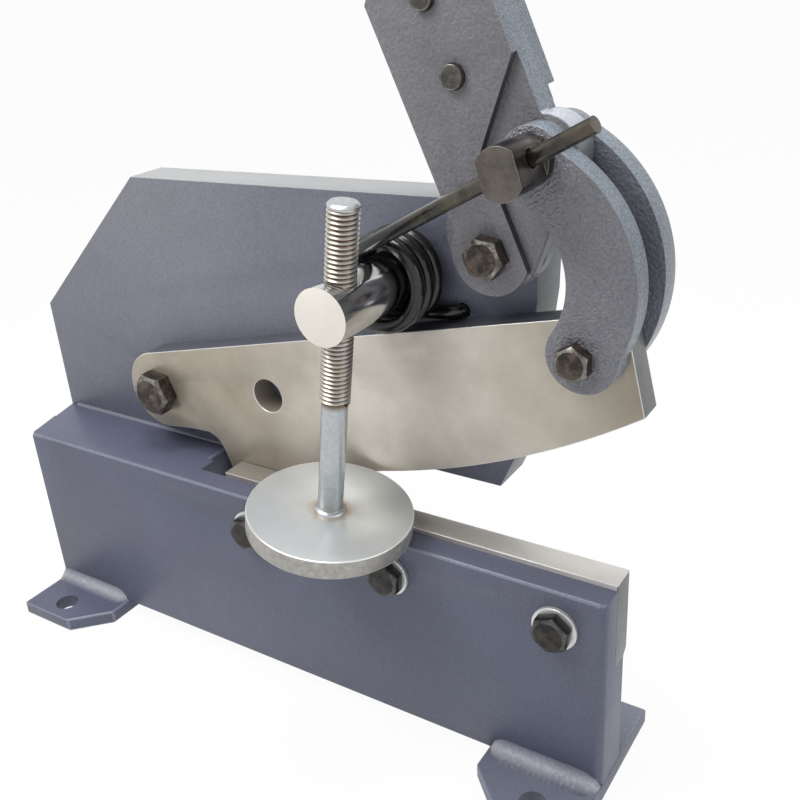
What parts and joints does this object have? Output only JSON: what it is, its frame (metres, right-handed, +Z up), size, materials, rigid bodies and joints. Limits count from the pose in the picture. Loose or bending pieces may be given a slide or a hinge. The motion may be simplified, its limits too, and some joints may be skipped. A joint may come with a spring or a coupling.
{
  "type": "bench shear",
  "caption": "Bench shear for flat sheet: beam on two feet, fixed and swinging blade, hand lever on a spring-loaded linkage, and a screw hold-down with a round foot.",
  "frame": {"origin": "midway between the left foot's two bench holes, on the underside of that foot", "axes": "+X along the base beam from the blade pivot towards the cutting mouth, +Y from the operator's side to the back, +Z up from the bench"},
  "size_m": [0.3295, 0.13, 0.6239],
  "materials": {
    "frame_paint": "hammered blue-grey paint, satin",
    "beam_paint": "hammered blue-grey paint, satin",
    "lever_paint": "hammered grey paint, satin",
    "blade_steel": "ground tool steel, satin",
    "black_bolts": "black oxide, worn at the corners",
    "zinc": "zinc plated, satin",
    "post_chrome": "bright turned steel, polished",
    "spring_steel": "dark oiled spring steel, glossy",
    "pin_steel": "bare steel, darkened",
    "grip_rubber": "black rubber, matte"
  },
  "bodies": {
    "frame": {"base_beam": "beam_paint", "spacer_block": "beam_paint", "frame_plate": "frame_paint", "left_foot": "beam_paint", "right_foot": "beam_paint", "lower_blade": "blade_steel", "lower_blade_bolts": "black_bolts", "lower_blade_washers": "zinc", "blade_pivot_bolt": "black_bolts", "blade_pivot_nut": "black_bolts", "lever_pivot_bolt": "black_bolts", "lever_pivot_nut": "black_bolts", "pivot_washers": "zinc", "post_washer": "zinc"},
    "blade": {"upper_blade": "blade_steel"},
    "lever": {"lever_front_plate": "lever_paint", "lever_ear_plate": "lever_paint", "lever_back_plate": "lever_paint", "handle_strap": "frame_paint", "handle_tube": "lever_paint", "handle_grip": "grip_rubber", "strap_bolts": "lever_paint"},
    "link": {"front_link": "lever_paint", "rear_link": "frame_paint", "link_bolt": "black_bolts", "link_nut": "black_bolts"},
    "pin": {"swivel_pin": "pin_steel", "pin_clip": "spring_steel"},
    "spring": {"torsion_spring": "spring_steel"},
    "post": {"hold_down_post": "post_chrome", "post_nut": "zinc"},
    "rod": {"hold_down_rod": "zinc", "hold_down_disc": "zinc"}
  },
  "joints": [
    {"name": "lever_swing", "type": "hinge", "parent": "frame", "child": "lever", "pos_m": [0.241, 0.0038, 0.2165], "axis": [0, 1, 0], "range_deg": [0, 94]},
    {"name": "blade_swing", "type": "hinge", "parent": "frame", "child": "blade", "pos_m": [0.057, 0.0038, 0.127], "axis": [0, 1, 0], "range_deg": [0, 15.04]},
    {"name": "link_swing", "type": "hinge", "parent": "lever", "child": "link", "pos_m": [0.26005, 0.0038, 0.2525], "axis": [0, 1, 0], "range_deg": [-84.13, 0]},
    {"name": "pin_turn", "type": "hinge", "parent": "lever", "child": "pin", "pos_m": [0.26005, 0.0038, 0.2525], "axis": [0, 1, 0], "range_deg": [-50.29, 0]},
    {"name": "spring_turn", "type": "hinge", "parent": "frame", "child": "spring", "pos_m": [0.1978, 0.0038, 0.2022], "axis": [0, 1, 0], "range_deg": [0, 43.71], "deforming": ["torsion_spring"]},
    {"name": "post_turn", "type": "hinge", "parent": "frame", "child": "post", "pos_m": [0.1978, 0.0038, 0.2022], "axis": [0, 1, 0], "range_deg": [-25, 25]},
    {"name": "rod_slide", "type": "slide", "parent": "post", "child": "rod", "axis": [0.1564, 0, 0.9877], "range_m": [0, 0.028]}
  ],
  "couplings": [
    {"joint": "blade_swing", "follows": "lever_swing", "ratio": 0.16},
    {"joint": "link_swing", "follows": "lever_swing", "ratio": -0.895},
    {"joint": "pin_turn", "follows": "lever_swing", "ratio": -0.535},
    {"joint": "spring_turn", "follows": "lever_swing", "ratio": 0.465}
  ]
}
